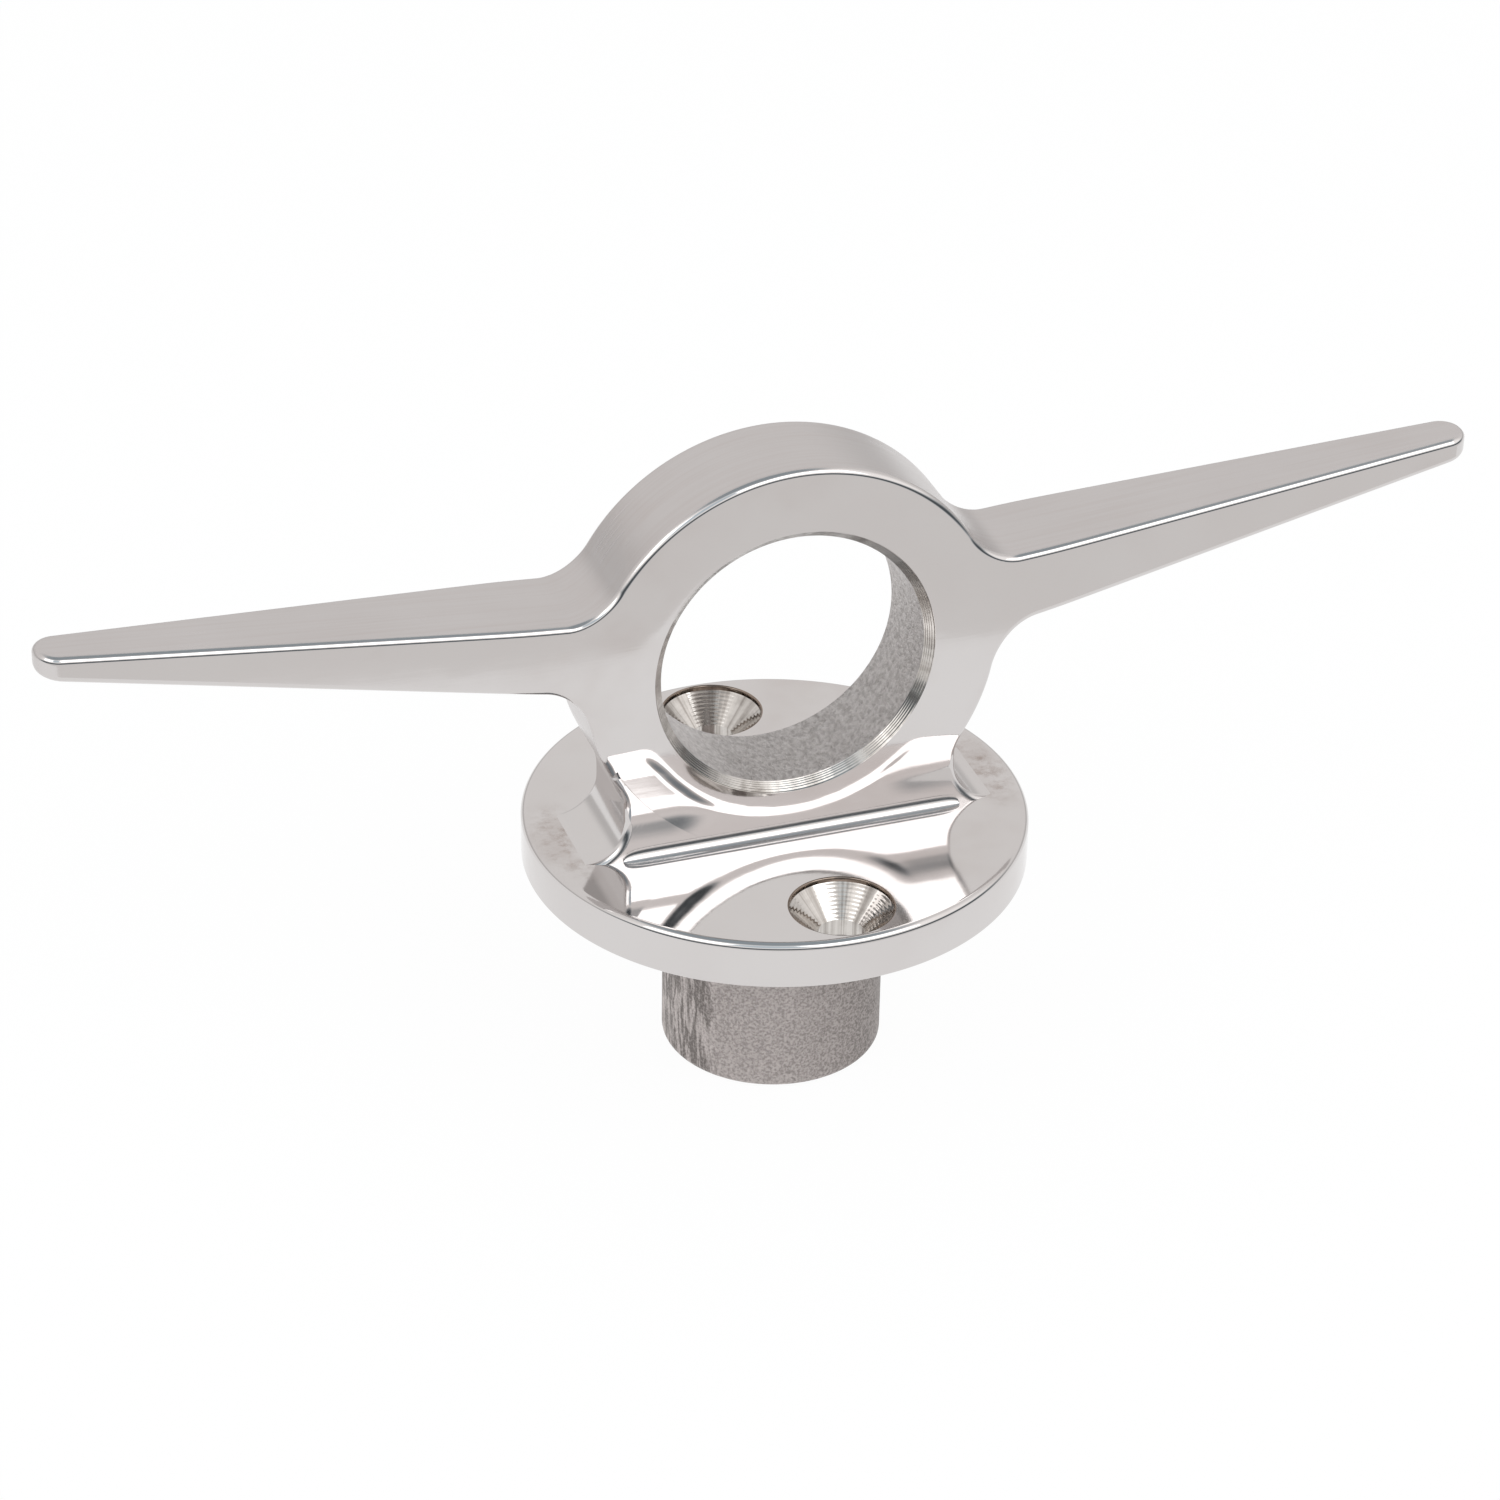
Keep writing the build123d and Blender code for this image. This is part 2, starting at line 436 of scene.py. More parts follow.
def hollow(x, z):
    # How far polishing has dished the face: two scoops low on the eye, a shallow one between
    # them, and a soft inner lip that dies away outwards.
    out = np.hypot(x, z - eyeHeight)
    above = z - flangeTop

    def below(name):
        depth, full, none = dishes[name]
        return depth * (1 - smooth(full, none, above))

    outside = smooth(upper["land"], upper["land"] + 2.0, out)
    left = smooth(-9.0, -17.0, x) * below("left")
    right = smooth(9.0, 18.0, x) * below("right")
    scoop = outside * smooth(0.8, 8.5, above) * (left + right + below("middle"))
    depth, fade = dishes["lip"]
    return scoop + depth * np.exp(-np.maximum(out - boreRadius - upper["boreChamfer"], 0) / fade)


def faceHalf(x, z):
    # Distance of the front face from the middle plane before its edges are rounded: full depth,
    # then a straight taper that a square root eases in, less the hollow.
    past = np.abs(x) - upper["taperStart"]
    return halfDepth - taperSlope * 0.5 * (past + np.sqrt(past**2 + 9.0)) - hollow(x, z)


def bodyDepth(x, y, z):
    # Depth inside the upper works: the side view met by the plan, whose tips are rounded.
    plan = meetOf(faceHalf(x, z) - np.abs(y), hornReach - np.abs(x), upper["tipRound"])
    return meetOf(sideDepth(x, z), plan, edge)


def outward(points):
    # Unit normals of the upper works at points, from the slope of its depth over a short step.
    d = 0.01
    x, y, z = points[..., 0], points[..., 1], points[..., 2]
    slope = np.stack([
        bodyDepth(x - d, y, z) - bodyDepth(x + d, y, z),
        bodyDepth(x, y - d, z) - bodyDepth(x, y + d, z),
        bodyDepth(x, y, z - d) - bodyDepth(x, y, z + d),
    ], -1)
    return slope / np.maximum(np.linalg.norm(slope, axis=-1, keepdims=True), 1e-12)


def bisect(depthAt, inside, outside, level):
    # Where a depth falls to a level between two positions, found by halving the gap each time.
    low, high = inside + 0 * level, outside + 0 * level
    for _ in range(42):
        middle = (low + high) / 2
        deep = depthAt(middle) > level
        low, high = np.where(deep, middle, low), np.where(deep, high, middle)
    return (low + high) / 2


def buildPiece(name, nodes, patches, materials):
    # Joins patches (points, normals, material number) into one closed mesh.
    # Each patch is a grid: its quads become faces, equal points are merged, quads with two
    # equal corners become triangles and slimmer ones are dropped. A face's side follows the
    # patch's own normals.
    allPoints, allNormals, quads, slots = [], [], [], []
    start = 0
    for points, normals, number in patches:
        rows, columns = points.shape[:2]
        index = np.arange(rows * columns).reshape(rows, columns) + start
        quad = np.stack([index[:-1, :-1], index[1:, :-1], index[1:, 1:], index[:-1, 1:]], -1)
        quad = quad.reshape(-1, 4)
        flatPoints, flatNormals = points.reshape(-1, 3), normals.reshape(-1, 3)
        corners = flatPoints[quad - start]
        faceTurn = np.cross(corners[:, 2] - corners[:, 0], corners[:, 3] - corners[:, 1])
        if (faceTurn * flatNormals[quad - start].sum(1)).sum() < 0:
            quad = quad[:, ::-1]
        allPoints.append(flatPoints)
        allNormals.append(flatNormals)
        quads.append(quad)
        slots.append(np.full(len(quad), number))
        start += rows * columns
    points, normals = np.concatenate(allPoints), np.concatenate(allNormals)
    quads, slots = np.concatenate(quads), np.concatenate(slots)
    keys = np.round(points * 2e4).astype(np.int64)  # equal to within 0.00005 mm
    _, first, merged = np.unique(keys, axis=0, return_index=True, return_inverse=True)
    merged = merged.ravel()
    corner = merged[quads]
    same = corner == np.roll(corner, -1, axis=1)  # corners equal to the next one round
    count = same.sum(1)
    full = (count == 0) & (corner[:, 0] != corner[:, 2]) & (corner[:, 1] != corner[:, 3])
    short = count == 1
    keep = np.sort(np.argsort(same[short], axis=1, kind="stable")[:, :3], axis=1)
    threes = np.take_along_axis(quads[short], keep, 1)
    a, b, c = merged[threes].T
    real = (a != b) & (b != c) & (a != c)
    threes = threes[real]
    fours = quads[full]
    places = points[first] * 0.001
    mesh = bpy.data.meshes.new(name)
    mesh.from_pydata(places.tolist(), [], merged[fours].tolist() + merged[threes].tolist())
    faceSlots = np.concatenate([slots[full], slots[short][real]]).astype(np.int32)
    for material in materials:
        mesh.materials.append(material)
    mesh.polygons.foreach_set("material_index", faceSlots)
    mesh.polygons.foreach_set("use_smooth", np.ones(len(mesh.polygons), bool))
    loops = np.concatenate([fours.ravel(), threes.ravel()])
    loopNormals = normals[loops]
    mesh.update()
    mesh.normals_split_custom_set(loopNormals.tolist())
    piece = bpy.data.objects.new(name, mesh)
    bpy.context.scene.collection.objects.link(piece)
    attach(piece, "root")
    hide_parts(*nodes)
    print(name, len(mesh.polygons), "faces")
    return piece


def mirrored(patches):
    # The same patches on the other side of the middle, with their rows reversed.
    sign = np.array([-1, 1, 1])
    return [
        ((points * sign)[::-1], (normals * sign)[::-1], number)
        for points, normals, number in patches
    ]


def makeBothSides(name, node, patches, material):
    # The right piece from its patches, and the left one mirrored from it.
    buildPiece(name + "Right", [node + "_right"], patches, [material])
    buildPiece(name + "Left", [node + "_left"], mirrored(patches), [material])


def eyePoint(angle, out, y):
    # Point at an angle round the eye, a distance from its axis, and y.
    return np.stack(np.broadcast_arrays(
        out * np.cos(angle), y, eyeHeight + out * np.sin(angle)), -1)


ringSettings = {
    "angles": 420,
    "faceRows": 26,
    "roundRows": 9,
    "wallRows": 10,
    "reach": 36.0,  # beyond the outline everywhere, short of the flare's far side
    "grooves": 5,  # turning marks on the chamfer
    "grooveSlope": 0.30,
}

roundTurns = np.linspace(0, np.pi / 2, ringSettings["roundRows"] + 1)
levels = edge * (1 - np.cos(roundTurns))  # depths inside the outline across a rounded edge


def hornLine(x, level, top):
    # Height of the horn's top or bottom line at x, a level inside the side view.
    middle = flangeTop + (upper["topHeight"] + upper["bottomHeight"]) / 2 \
        + (upper["topSlope"] + upper["bottomSlope"]) / 2 * np.abs(x)
    return bisect(lambda z: sideDepth(x, z), middle, middle + (12 if top else -12), level)


jointTop = hornLine(np.full_like(levels, hornJoint), levels, True)
jointBottom = hornLine(np.full_like(levels, hornJoint), levels, False)
jointAngles = np.arctan2(np.concatenate([jointTop, jointBottom]) - eyeHeight, hornJoint)
footTop = math.radians(upper["footTop"])
footTurn = -math.asin((eyeHeight - flangeTop) / upper["footSeat"])  # where the seat meets the flange
footCorner = math.atan2(flangeTop - eyeHeight, upper["neckHalf"])
flareTop = math.atan2(flangeTop + upper["flare"] - eyeHeight, upper["neckHalf"])
nudge = 1e-9


def ringAngles():
    # Angles round the eye, evenly spaced and with each corner of the joints included.
    even = np.linspace(-np.pi / 2, np.pi / 2, ringSettings["angles"] // 2 + 1)
    corners = [footTop - nudge, footTop + nudge, footTurn, footCorner, flareTop]
    special = np.concatenate([jointAngles, corners])
    clear = np.abs(even[:, None] - special[None, :]).min(1) > 0.004
    right = np.sort(np.concatenate([even[clear], special, [np.pi / 2, -np.pi / 2]]))
    right = right[np.concatenate([[True], np.diff(right) > 1e-12])]
    left = np.pi - right[::-1]
    return np.concatenate([right, left[1:]])


def seatReach(angle):
    # How far the ring piece may reach at an angle: to the horn joint, which is upright, to the
    # foot's curved seat, or to the flange, which is level.
    down = np.sin(angle)
    reach = hornJoint / np.maximum(np.abs(np.cos(angle)), 1e-6)
    reach = np.minimum(reach, np.where(down < math.sin(footTop), upper["footSeat"], 1e3))
    floorReach = (eyeHeight - flangeTop) / np.maximum(-down, 1e-6)
    return np.minimum(reach, np.where(down < 0, floorReach, 1e3))


def faceY(x, z):
    # Half depth of the body at (x, z): flat, less a quarter circle within an edge's reach.
    inside = np.clip(sideDepth(x, z), 0, edge)
    return faceHalf(x, z) - edge + np.sqrt(np.maximum(edge**2 - (edge - inside) ** 2, 0))


def sectionRows(angle, inner, limit):
    # Half section at each angle as (distance out, half depth): even steps over the face from
    # inner to where the edge's rounding starts, then each level of the rounding.
    a = angle[:, None]

    def depthAt(out):
        return sideDepth(out * np.cos(a), eyeHeight + out * np.sin(a))

    start = np.maximum(inner[:, None], boreRadius + 1) + 0 * levels[None, :]
    far = np.full_like(start, ringSettings["reach"])
    outline = bisect(depthAt, start, far, levels[None, :] + 0 * start)
    outline = np.minimum(outline, limit[:, None])
    share = np.linspace(0, 1, ringSettings["faceRows"] + 1)[None, :-1]
    face = inner[:, None] + (outline[:, -1:] - inner[:, None]) * share
    out = np.concatenate([face, outline[:, ::-1]], 1)
    half = faceY(out * np.cos(a), eyeHeight + out * np.sin(a))
    return out, half


def shellOf(angle, inner, limit):
    # Skin of a section at each angle: out over the front face, straight across the outline,
    # and back in over the rear face, which mirrors the front.
    out, half = sectionRows(angle, inner, limit)
    share = np.linspace(-1, 1, ringSettings["wallRows"] + 1)[None, 1:-1]
    wallOut = out[:, -1:] + 0 * share
    wallY = half[:, -1:] * share
    allOut = np.concatenate([out, wallOut, out[:, ::-1]], 1)
    allY = np.concatenate([-half, wallY, half[:, ::-1]], 1)
    points = eyePoint(angle[:, None], allOut, allY)
    return points, half


def fan(loop, facing):
    # Flat cap: triangles from the middle of a loop of points, which is closed here. Its rim has
    # the skin's normals, so the skin's shading runs on to the joint.
    loop = np.concatenate([loop, loop[:1]])
    cap = np.stack([loop, np.repeat(loop.mean(0)[None, :], len(loop), 0)])
    normals = np.broadcast_to(np.array(facing, float), cap.shape).copy()
    normals[0] = outward(loop)
    return cap, normals, 0


def makeRing():
    # Ring eye, swept round the eye's axis: its skin, two chamfers that lean 45 degrees with a
    # sine ripple in their slope for the turning marks, and the bore wall.
    angle = ringAngles()
    lip = boreRadius + upper["boreChamfer"]
    inner = np.full_like(angle, lip)
    points, half = shellOf(angle, inner, seatReach(angle))
    normals = outward(points)
    a = angle[:, None]
    patches = [(points, normals, 0)]
    t = np.linspace(0, 1, 49)[None, :]  # across a chamfer, from its lip to the bore
    innerHalf = half[:, :1]
    for face in (-1, 1):
        cutOut = lip - upper["boreChamfer"] * t
        cutY = face * (innerHalf - upper["boreChamfer"] * t)
        chamfer = eyePoint(a, cutOut + 0 * a, cutY)
        ripple = ringSettings["grooveSlope"] * np.sin(2 * np.pi * ringSettings["grooves"] * t ** 1.2)
        lean = np.pi / 4 + ripple + 0 * a
        normal = np.stack(np.broadcast_arrays(
            -np.cos(a) * np.sin(lean), face * np.cos(lean), -np.sin(a) * np.sin(lean)), -1)
        if face < 0:
            chamfer, normal = chamfer[:, ::-1], normal[:, ::-1]
        patches.append((chamfer, normal, 1))
    y = (innerHalf - upper["boreChamfer"]) * np.linspace(1, -1, 25)[None, :]
    wall = eyePoint(a, boreRadius + 0 * y, y)
    wallNormal = eyePoint(a, -1 + 0 * y, 0 * y) - np.array([0, 0, eyeHeight])
    patches.append((wall, wallNormal, 2))
    finishes = [polished, turned, roughBore]
    return buildPiece("ringEye", ["ring_eye"], patches, finishes)


makeRing()


def footPatches():
    # Right foot: the ring's sections again, from the curved seat out to the neck's side and the
    # flange, at the ring's own angles so that both share the seat's points.
    angle = ringAngles()
    angle = angle[(angle > footTurn - 1e-9) & (angle < footTop)]
    inner = np.full_like(angle, upper["footSeat"])
    limit = (eyeHeight - flangeTop) / np.maximum(-np.sin(angle), 1e-6)
    limit = np.minimum(limit, np.where(angle <= flareTop, upper["neckHalf"] / np.cos(angle), 1e3))
    points, half = shellOf(angle, inner, np.maximum(limit, upper["footSeat"]))
    a = angle[:, None]
    share = np.linspace(1, -1, ringSettings["wallRows"] + 1)[None, :]
    seat = eyePoint(a, upper["footSeat"] + 0 * share, half[:, :1] * share)
    seatNormal = np.stack(np.broadcast_arrays(-np.cos(a), 0 * share, -np.sin(a)), -1).copy()
    seatNormal[:, [0, -1]] = outward(seat[:, [0, -1]])  # its rim shades as the skin does
    loop = np.concatenate([points[-1], seat[-1, 1:]])
    return [
        (points, outward(points), 0),
        (seat, seatNormal, 0),
        fan(loop, (0.0, 0.0, 1.0)),
    ]


makeBothSides("foot", "foot", footPatches(), polished)


hornSettings = {"stations": 210, "tipStations": 26, "topRows": 10, "wallRows": 12}


def hornPatches():
    # Right horn: a grid of stations round its plan outline by rows up its side, from the middle
    # of its bottom over the bottom edge's rounding, the wall and the top edge's, to its top.
    tip = upper["tipRound"]
    straight = np.linspace(hornJoint, hornReach - tip, hornSettings["stations"])
    turn = np.linspace(0, np.pi / 2, hornSettings["tipStations"])[1:]

    def planPoint(inset):
        # Half the plan outline, front root to tip, moved inwards by inset.
        def halfAt(x):
            return faceHalf(x, np.full_like(x, flangeTop + 30.0))
        aroundTip = hornReach - tip + (tip - inset) * np.sin(turn)
        x = np.concatenate([straight, aroundTip, [hornReach - inset]])
        y = np.concatenate([
            halfAt(straight) - inset,
            halfAt(hornReach - tip + tip * np.sin(turn)) - tip + (tip - inset) * np.cos(turn),
            [0.0],
        ])
        return x, y

    rows = []
    x1, y1 = planPoint(edge)
    centre = np.minimum(x1, hornReach - tip)
    for top in (False, True):
        half = []
        for share in np.linspace(0, 1, hornSettings["topRows"] + 1)[:-1]:
            x = centre + (x1 - centre) * share
            half.append((x, y1 * share, hornLine(x, 0.0 * x, top)))
        for angle, level in zip(roundTurns, levels):
            x, y = planPoint(edge * (1 - math.sin(angle)))
            half.append((x, y, hornLine(x, level + 0 * x, top)))
        rows.append(half)
    low, high = rows[0], rows[1][::-1]
    x0, y0, z0 = low[-1]
    z1 = high[0][2]
    walls = [
        (x0, y0, z0 + (z1 - z0) * share)
        for share in np.linspace(0, 1, hornSettings["wallRows"] + 1)[1:-1]
    ]
    front = np.stack([np.stack([x, -y, z], -1) for x, y, z in low + walls + high], 1)
    rear = front[::-1] * np.array([1, -1, 1])
    points = np.concatenate([front, rear[1:]], 0)
    root = np.concatenate([points[0], points[-1][::-1][1:]])
    return [(points, outward(points), 0), fan(root, (-1.0, 0.0, 0.0))]


makeBothSides("horn", "horn", hornPatches(), polished)


weldSettings = {
    "side": 1.8,  # size of the beads along the front and rear
    "end": 5.6,  # size of the beads at the ends, the same as the flare
    "sideHalf": 24.4,
    "sideRows": 161,
    "sideFade": 24,  # power that keeps the bead full until close to its ends
    "arcRows": 24,
}


def sideBead(face):
    # Bead along the foot's front or rear: a quarter circle, hollow side out, carried along X.
    # Its size falls to nothing at both ends as the root of 1 less a high power of the way along.
    share = np.linspace(-1, 1, weldSettings["sideRows"])[:, None]
    x = share * weldSettings["sideHalf"]
    full = np.sqrt(np.clip(1 - np.abs(share) ** weldSettings["sideFade"], 0, 1))
    size = weldSettings["side"] * full
    turn = np.linspace(0, np.pi / 2, weldSettings["arcRows"] + 1)[None, :]
    leg = np.linspace(0, 1, 5)[None, :]

    def strip(y, z, ny, nz):
        points = np.stack(np.broadcast_arrays(x, face * y, z), -1)
        normals = np.stack(np.broadcast_arrays(0 * points[..., 0], face * ny, nz), -1)
        return (points, normals, 0) if face > 0 else (points[::-1], normals[::-1], 0)

    arcY = halfDepth + size * (1 - np.sin(turn))
    arcZ = flangeTop + size * (1 - np.cos(turn))
    return [
        strip(arcY, arcZ, np.sin(turn), np.cos(turn)),
        strip(halfDepth, flangeTop + size * leg[:, ::-1], -1.0, 0.0),
        strip(halfDepth + size * leg, flangeTop, 0.0, -1.0),
    ]


for face, place in ((-1, "Front"), (1, "Rear")):
    node = "foot_weld_" + place.lower()
    buildPiece("footWeld" + place, [node], sideBead(face), [weldBuffed])


def endBead():
    # Right end bead: rays from the neck's foot out to a quarter circle, hollow side out, cut by
    # the same front and rear faces and rounded by the same edges as the foot.
    size = weldSettings["end"]
    turn = np.linspace(0, np.pi / 2, weldSettings["arcRows"] * 2 + 1)[:, None]
    cornerX, cornerZ = upper["neckHalf"], flangeTop
    awayX = size - size * np.cos(turn)
    awayZ = size - size * np.sin(turn)

    def depthAt(share):
        return sideDepth(cornerX + awayX * share, cornerZ + awayZ * share)

    level = levels[None, :] + 0 * turn
    reach = bisect(depthAt, np.zeros_like(level), np.ones_like(level), level)
    inner = reach[:, -1:] * np.linspace(0, 1, 9)[None, :-1]
    share = np.concatenate([inner, reach[:, ::-1]], 1)
    x, z = cornerX + awayX * share, cornerZ + awayZ * share
    half = faceY(x, z)
    across = np.linspace(-1, 1, 17)[None, 1:-1]
    wallX, wallZ = x[:, -1:] + 0 * across, z[:, -1:] + 0 * across
    points = np.stack([
        np.concatenate([x, wallX, x[:, ::-1]], 1),
        np.concatenate([-half, half[:, -1:] * across, half[:, ::-1]], 1),
        np.concatenate([z, wallZ, z[:, ::-1]], 1),
    ], -1)
    return [
        (points, outward(points), 0),
        fan(points[0], (-1.0, 0.0, 0.0)),
        fan(points[-1], (0.0, 0.0, -1.0)),
    ]


makeBothSides("footWeld", "foot_weld", endBead(), weldBuffed)


flangeSettings = {
    "tenon": 7.0,
    "topRound": 1.0,
    "bottomRound": 0.5,
    "seatDepth": 1.0,  # flared seat for the spigot's shoulder and its weld
    "seatWidth": 2.0,
    "sinkRadius": 7.0,
    "sinkLip": 0.7,
    "sinkRound": 0.25,
    "sinkGrooves": 9,  # turning marks down the cone, and their depth
    "grooveDepth": 0.004,
    "sector": 50,  # degrees each side of a screw hole
    "radialRows": 24,
}


def sectorRim(innerRadius, outerRadius, face):
    # Closed line round the sector of the disc that holds one screw hole.
    hubs = np.radians(np.arange(-flangeSettings["sector"], flangeSettings["sector"] + 1))
    radii = np.linspace(innerRadius, outerRadius, flangeSettings["radialRows"] + 1)
    arc = face * np.pi / 2 + hubs

    def ray(radius, angle):
        return np.stack(np.broadcast_arrays(radius * np.cos(angle), radius * np.sin(angle)), -1)

    return np.concatenate([
        ray(outerRadius, arc), ray(radii[::-1], arc[-1])[1:],
        ray(innerRadius, arc[::-1])[1:], ray(radii, arc[0])[1:],
    ])


def holeTurns(face):
    # Angles round a screw hole that look at the points of the upper face's sector.
    away = sectorRim(flangeSettings["tenon"], flangeRadius - flangeSettings["topRound"], face) \
        - np.array([0, face * screwReach])
    return np.arctan2(away[:, 1], away[:, 0])


def discFace(height, innerRadius, outerRadius, holeRadius, facing):
    # Level face with two screw holes: round each hole straight lines run from the hole's circle
    # to its sector's rim, and the rest is plain polar sectors.
    radii = np.linspace(innerRadius, outerRadius, flangeSettings["radialRows"] + 1)
    share = np.linspace(0, 1, 13)[None, :, None]
    side = 90 - flangeSettings["sector"]
    flats = []
    for face in (-1, 1):
        turns = holeTurns(face)
        holeX, holeY = holeRadius * np.cos(turns), face * screwReach + holeRadius * np.sin(turns)
        hole = np.stack([holeX, holeY], -1)
        rim = sectorRim(innerRadius, outerRadius, face)
        flats.append(hole[:, None] * (1 - share) + rim[:, None] * share)
    for middle in (0, np.pi):
        arc = middle + np.radians(np.arange(-side, side + 1))[:, None]
        flat = np.broadcast_arrays(radii[None] * np.cos(arc), radii[None] * np.sin(arc))
        flats.append(np.stack(flat, -1))
    patches = []
    for flat in flats:
        points = np.concatenate([flat, np.full((*flat.shape[:2], 1), height)], -1)
        patches.append((points, np.broadcast_to([0.0, 0.0, float(facing)], points.shape), 0))
    return patches


def revolve(profile, angles, number, centre=(0, 0)):
    # Profile of (radius, height) rows turned about an upright line, with its outside to the
    # right of the way that it runs.
    radius, height = profile[:, 0][None, :], profile[:, 1][None, :]
    a = angles[:, None]
    points = np.stack(np.broadcast_arrays(
        centre[0] + radius * np.cos(a), centre[1] + radius * np.sin(a), height), -1)
    step = np.gradient(profile, axis=0)
    step = step / np.maximum(np.linalg.norm(step, axis=1, keepdims=True), 1e-12)
    nr, nz = step[:, 1][None, :], -step[:, 0][None, :]
    normals = np.stack(np.broadcast_arrays(nr * np.cos(a), nr * np.sin(a), nz + 0 * a), -1)
    return points, normals, number


def arcProfile(centre, radius, start, stop, count):
    # Arc in (radius, height), degrees measured from outwards towards up.
    turn = np.radians(np.linspace(start, stop, count))
    return np.stack([centre[0] + radius * np.cos(turn), centre[1] + radius * np.sin(turn)], -1)


def line(start, stop, count):
    # Straight run of (radius, height) rows between two of them.
    return np.linspace(start, stop, count)


degrees = np.radians(np.arange(0, 361))
seatDepth = flangeSettings["seatDepth"]
seatTop = spigotRadius - flangeSettings["seatWidth"] / 2
seatFoot = seatTop + flangeSettings["seatWidth"]


def sinkPatches(face):
    # Countersunk hole, turned about its own middle at the angles the flat faces use: a brownish
    # lip with a straight wall, a cone with a sine ripple for its turning marks, and a plain hole.
    top, roundness = flangeSettings["sinkRadius"], flangeSettings["sinkRound"]
    lipHeight = flangeTop - flangeSettings["sinkLip"]
    coneHeight = lipHeight - (top - screwRadius)
    around = holeTurns(face)
    centre = (0, face * screwReach)
    lip = arcProfile((top + roundness, flangeTop - roundness), roundness, 90, 180, 6)
    wall = np.concatenate([lip, line((top, flangeTop - roundness), (top, lipHeight), 5)[1:]])
    t = np.linspace(0, 1, 61)
    cone = line((top, lipHeight), (screwRadius, coneHeight), 61)
    ripple = flangeSettings["grooveDepth"] * np.sin(2 * np.pi * flangeSettings["sinkGrooves"] * t)
    cone = cone + ripple[:, None] * np.array([0.707, -0.707])
    cone[0], cone[-1] = (top, lipHeight), (screwRadius, coneHeight)
    plain = line((screwRadius, coneHeight), (screwRadius, 0.0), 8)
    return [
        revolve(wall, around, 2, centre),
        revolve(cone, around, 1, centre),
        revolve(plain, around, 1, centre),
    ]


def makeFlange():
    # Disc turned about the upright axis: rim with two rounded corners, two level faces, the
    # countersunk holes, the flared seat for the spigot and the bore for its tenon.
    topRound, bottomRound = flangeSettings["topRound"], flangeSettings["bottomRound"]
    tenon, sinkTop = flangeSettings["tenon"], flangeSettings["sinkRadius"] + flangeSettings["sinkRound"]
    topReach, bottomReach = flangeRadius - topRound, flangeRadius - bottomRound
    rim = np.concatenate([
        arcProfile((bottomReach, bottomRound), bottomRound, -90, 0, 9),
        line((flangeRadius, bottomRound), (flangeRadius, flangeTop - topRound), 9)[1:],
        arcProfile((topReach, flangeTop - topRound), topRound, 0, 90, 15)[1:],
    ])
    patches = [revolve(rim, degrees, 0)]
    patches += discFace(flangeTop, tenon, topReach, sinkTop, 1)
    patches += discFace(0.0, seatFoot, bottomReach, screwRadius, -1)
    for run in (
        line((seatTop, seatDepth), (seatFoot, 0.0), 5),
        line((tenon, seatDepth), (seatTop, seatDepth), 9),
        line((tenon, flangeTop), (tenon, seatDepth), 9),
    ):
        patches.append(revolve(run, degrees, 0))
    for face in (-1, 1):
        patches += sinkPatches(face)
    finishes = [buffedFlange, turned, heatedLip]
    return buildPiece("deckFlange", ["base_flange"], patches, finishes)


makeFlange()


spigotSettings = {"bottomRound": 1.0}


def makeSpigot():
    # Stub turned from straight runs and one arc: foot, rounded rim, side, chamfered shoulder, tenon.
    tenon, bottomRound = flangeSettings["tenon"], spigotSettings["bottomRound"]
    footReach = spigotRadius - bottomRound
    parts = [
        line((0.0, spigotBottom), (footReach, spigotBottom), 14),
        arcProfile((footReach, spigotBottom + bottomRound), bottomRound, -90, 0, 10),
        line((spigotRadius, spigotBottom + bottomRound), (spigotRadius, 0.0), 40),
        line((spigotRadius, 0.0), (seatTop, seatDepth), 4),
        line((seatTop, seatDepth), (tenon, seatDepth), 6),
        line((tenon, seatDepth), (tenon, flangeTop), 6),
        line((tenon, flangeTop), (0.0, flangeTop), 6),
    ]
    patches = [revolve(part, degrees, 0) for part in parts]
    return buildPiece("spigotStub", ["spigot"], patches, [blasted])


def makeSpigotWeld():
    # Ring of weld turned from a triangle, flush in the groove between shoulder and flange.
    parts = [
        line((seatTop, seatDepth), (spigotRadius, 0.0), 6),
        line((spigotRadius, 0.0), (seatFoot, 0.0), 6),
        line((seatFoot, 0.0), (seatTop, seatDepth), 6),
    ]
    patches = [revolve(part, degrees, 0) for part in parts]
    return buildPiece("spigotWeld", ["spigot_weld"], patches, [blasted])


makeSpigot()
makeSpigotWeld()

studio = {
    "tableHalf": (0.9, 0.9),
    "tableFront": ((-0.9, -0.150), (-0.03, -0.125), (0.03, -0.119), (0.9, 0.1)),  # its front edge
    "tableGlow": 0.95,
    "tableWhite": 0.05,
    "sky": 0.90,
    "spill": 0.35,  # extra light above the front horizon
    "highDark": 0.35,  # what each darker part takes off the sky
    "horizonDark": 0.26,
    "frontDark": 0.52,
    "gapDark": 0.42,
    "zenithDark": 0.45,
    "belowDark": 0.06,
    "gapAt": (-0.28, -0.72, 0.63),  # direction of the gap between the boxes
    "warm": (1.0, 0.985, 0.975, 1),
    "cool": (0.80, 0.92, 1.0, 1),
    "boxColour": (0.94, 0.98, 1.0),
    "boxes": [  # azimuth, elevation, distance, width, height, brightness
        ("rightBox", 24, 43, 1.1, 0.85, 0.44, 1.85),
        ("leftBox", -60, 38, 1.2, 0.70, 0.50, 1.4),
    ],
}


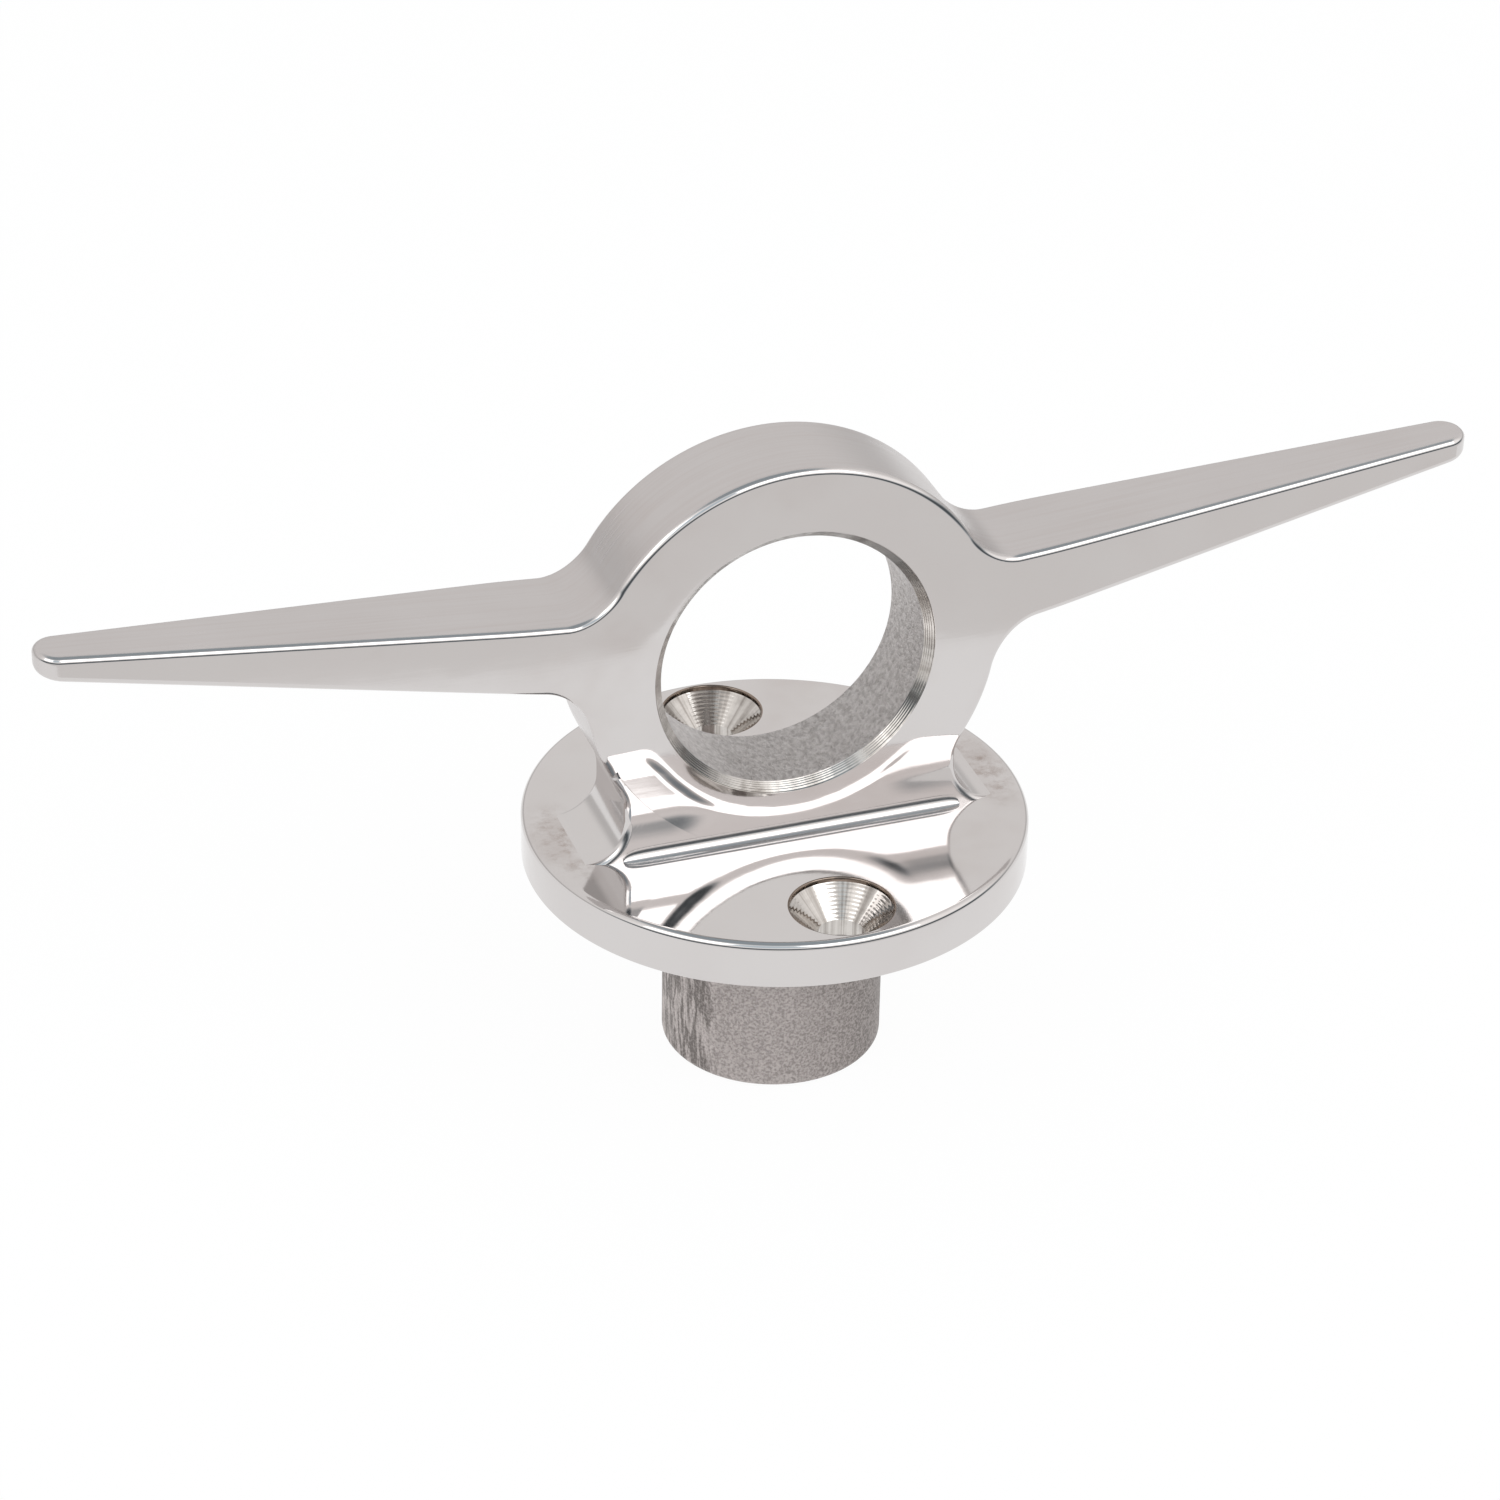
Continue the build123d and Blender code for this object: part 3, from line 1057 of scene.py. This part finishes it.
def addTable():
    # Pale table top, nearly shadowless, ending just in front of the piece.
    z = spigotBottom * 0.001 - 0.0002
    x, y = studio["tableHalf"]
    outline = [(*corner, z) for corner in studio["tableFront"]] + [(x, y, z), (-x, y, z)]
    mesh = bpy.data.meshes.new("table")
    mesh.from_pydata(outline, [], [tuple(range(len(outline)))])
    table = bpy.data.objects.new("table", mesh)
    bpy.context.scene.collection.objects.link(table)
    material = bpy.data.materials.new("tableTop")
    material.use_nodes = True
    tree = material.node_tree
    shader = next(node for node in tree.nodes if node.type == "BSDF_PRINCIPLED")
    white, glow = studio["tableWhite"], studio["tableGlow"]
    shader.inputs["Base Color"].default_value = (white, white, white, 1)
    shader.inputs["Roughness"].default_value = 0.9
    shader.inputs["Specular IOR Level"].default_value = 0.0
    shader.inputs["Emission Color"].default_value = (1, 1, 1, 1)
    shader.inputs["Emission Strength"].default_value = glow
    mesh.materials.append(material)


def addBox(name, azimuth, elevation, distance, width, height, brightness):
    # Soft box facing the piece; its power gives the brightness asked for.
    around, above = math.radians(azimuth), math.radians(elevation)
    light = bpy.data.lights.new(name, "AREA")
    light.shape = "RECTANGLE"
    light.size, light.size_y = width, height
    light.energy = brightness * math.pi * width * height
    light.color = studio["boxColour"]
    lamp = bpy.data.objects.new(name, light)
    lamp.location = (
        distance * math.sin(around) * math.cos(above),
        -distance * math.cos(around) * math.cos(above),
        distance * math.sin(above),
    )
    lamp.rotation_euler = (math.radians(90 - elevation), 0, around)
    lamp.visible_camera = False
    bpy.context.scene.collection.objects.link(lamp)


def makeWorld():
    # Pale surroundings, darker and cooler along the front horizon, overhead and in the gap
    # between the boxes. Looked at directly they are plain white.
    world = bpy.data.worlds.new("studio")
    bpy.context.scene.world = world
    world.use_nodes = True
    tree = world.node_tree
    background = next(node for node in tree.nodes if node.type == "BACKGROUND")
    way = Wire(tree, tree.nodes.new("ShaderNodeTexCoord").outputs["Generated"])
    y, z = way.part(1), way.part(2)
    front = (y * -1.0).step(-0.25, 0.35)
    horizon = 1 - (z - 0.06).math("ABSOLUTE").step(0.06, 0.26)
    zenith = z.step(0.84, 0.93)
    below = 1 - z.step(-0.25, -0.02)
    facing = {0: way, 1: studio["gapAt"]}
    toGap = way.node("ShaderNodeVectorMath", {"operation": "DOT_PRODUCT"}, facing, 1)
    gap = toGap.step(0.93, 0.985)
    light = studio["sky"] + front * z.step(0.22, 0.36) * studio["spill"] \
        - front * z.step(0.80, 0.88) * studio["highDark"] \
        - horizon * (studio["horizonDark"] + front * studio["frontDark"]) \
        - gap * studio["gapDark"] - zenith * studio["zenithDark"] - below * studio["belowDark"]
    light = light.math("MAXIMUM", 0.06)
    cool = (horizon * front).math("MAXIMUM", gap).math("MAXIMUM", zenith)
    colour = cool.blend(studio["warm"], studio["cool"])
    scaled = way.node("ShaderNodeVectorMath", {"operation": "SCALE"}, {0: colour, "Scale": light})
    seen = way.node("ShaderNodeLightPath")
    final = seen.blend(scaled, (1, 1, 1, 1))
    tree.links.new(final.socket, background.inputs["Color"])


addTable()
for box in studio["boxes"]:
    addBox(*box)
makeWorld()
bpy.context.scene.view_settings.view_transform = "Standard"
print("studio lit")
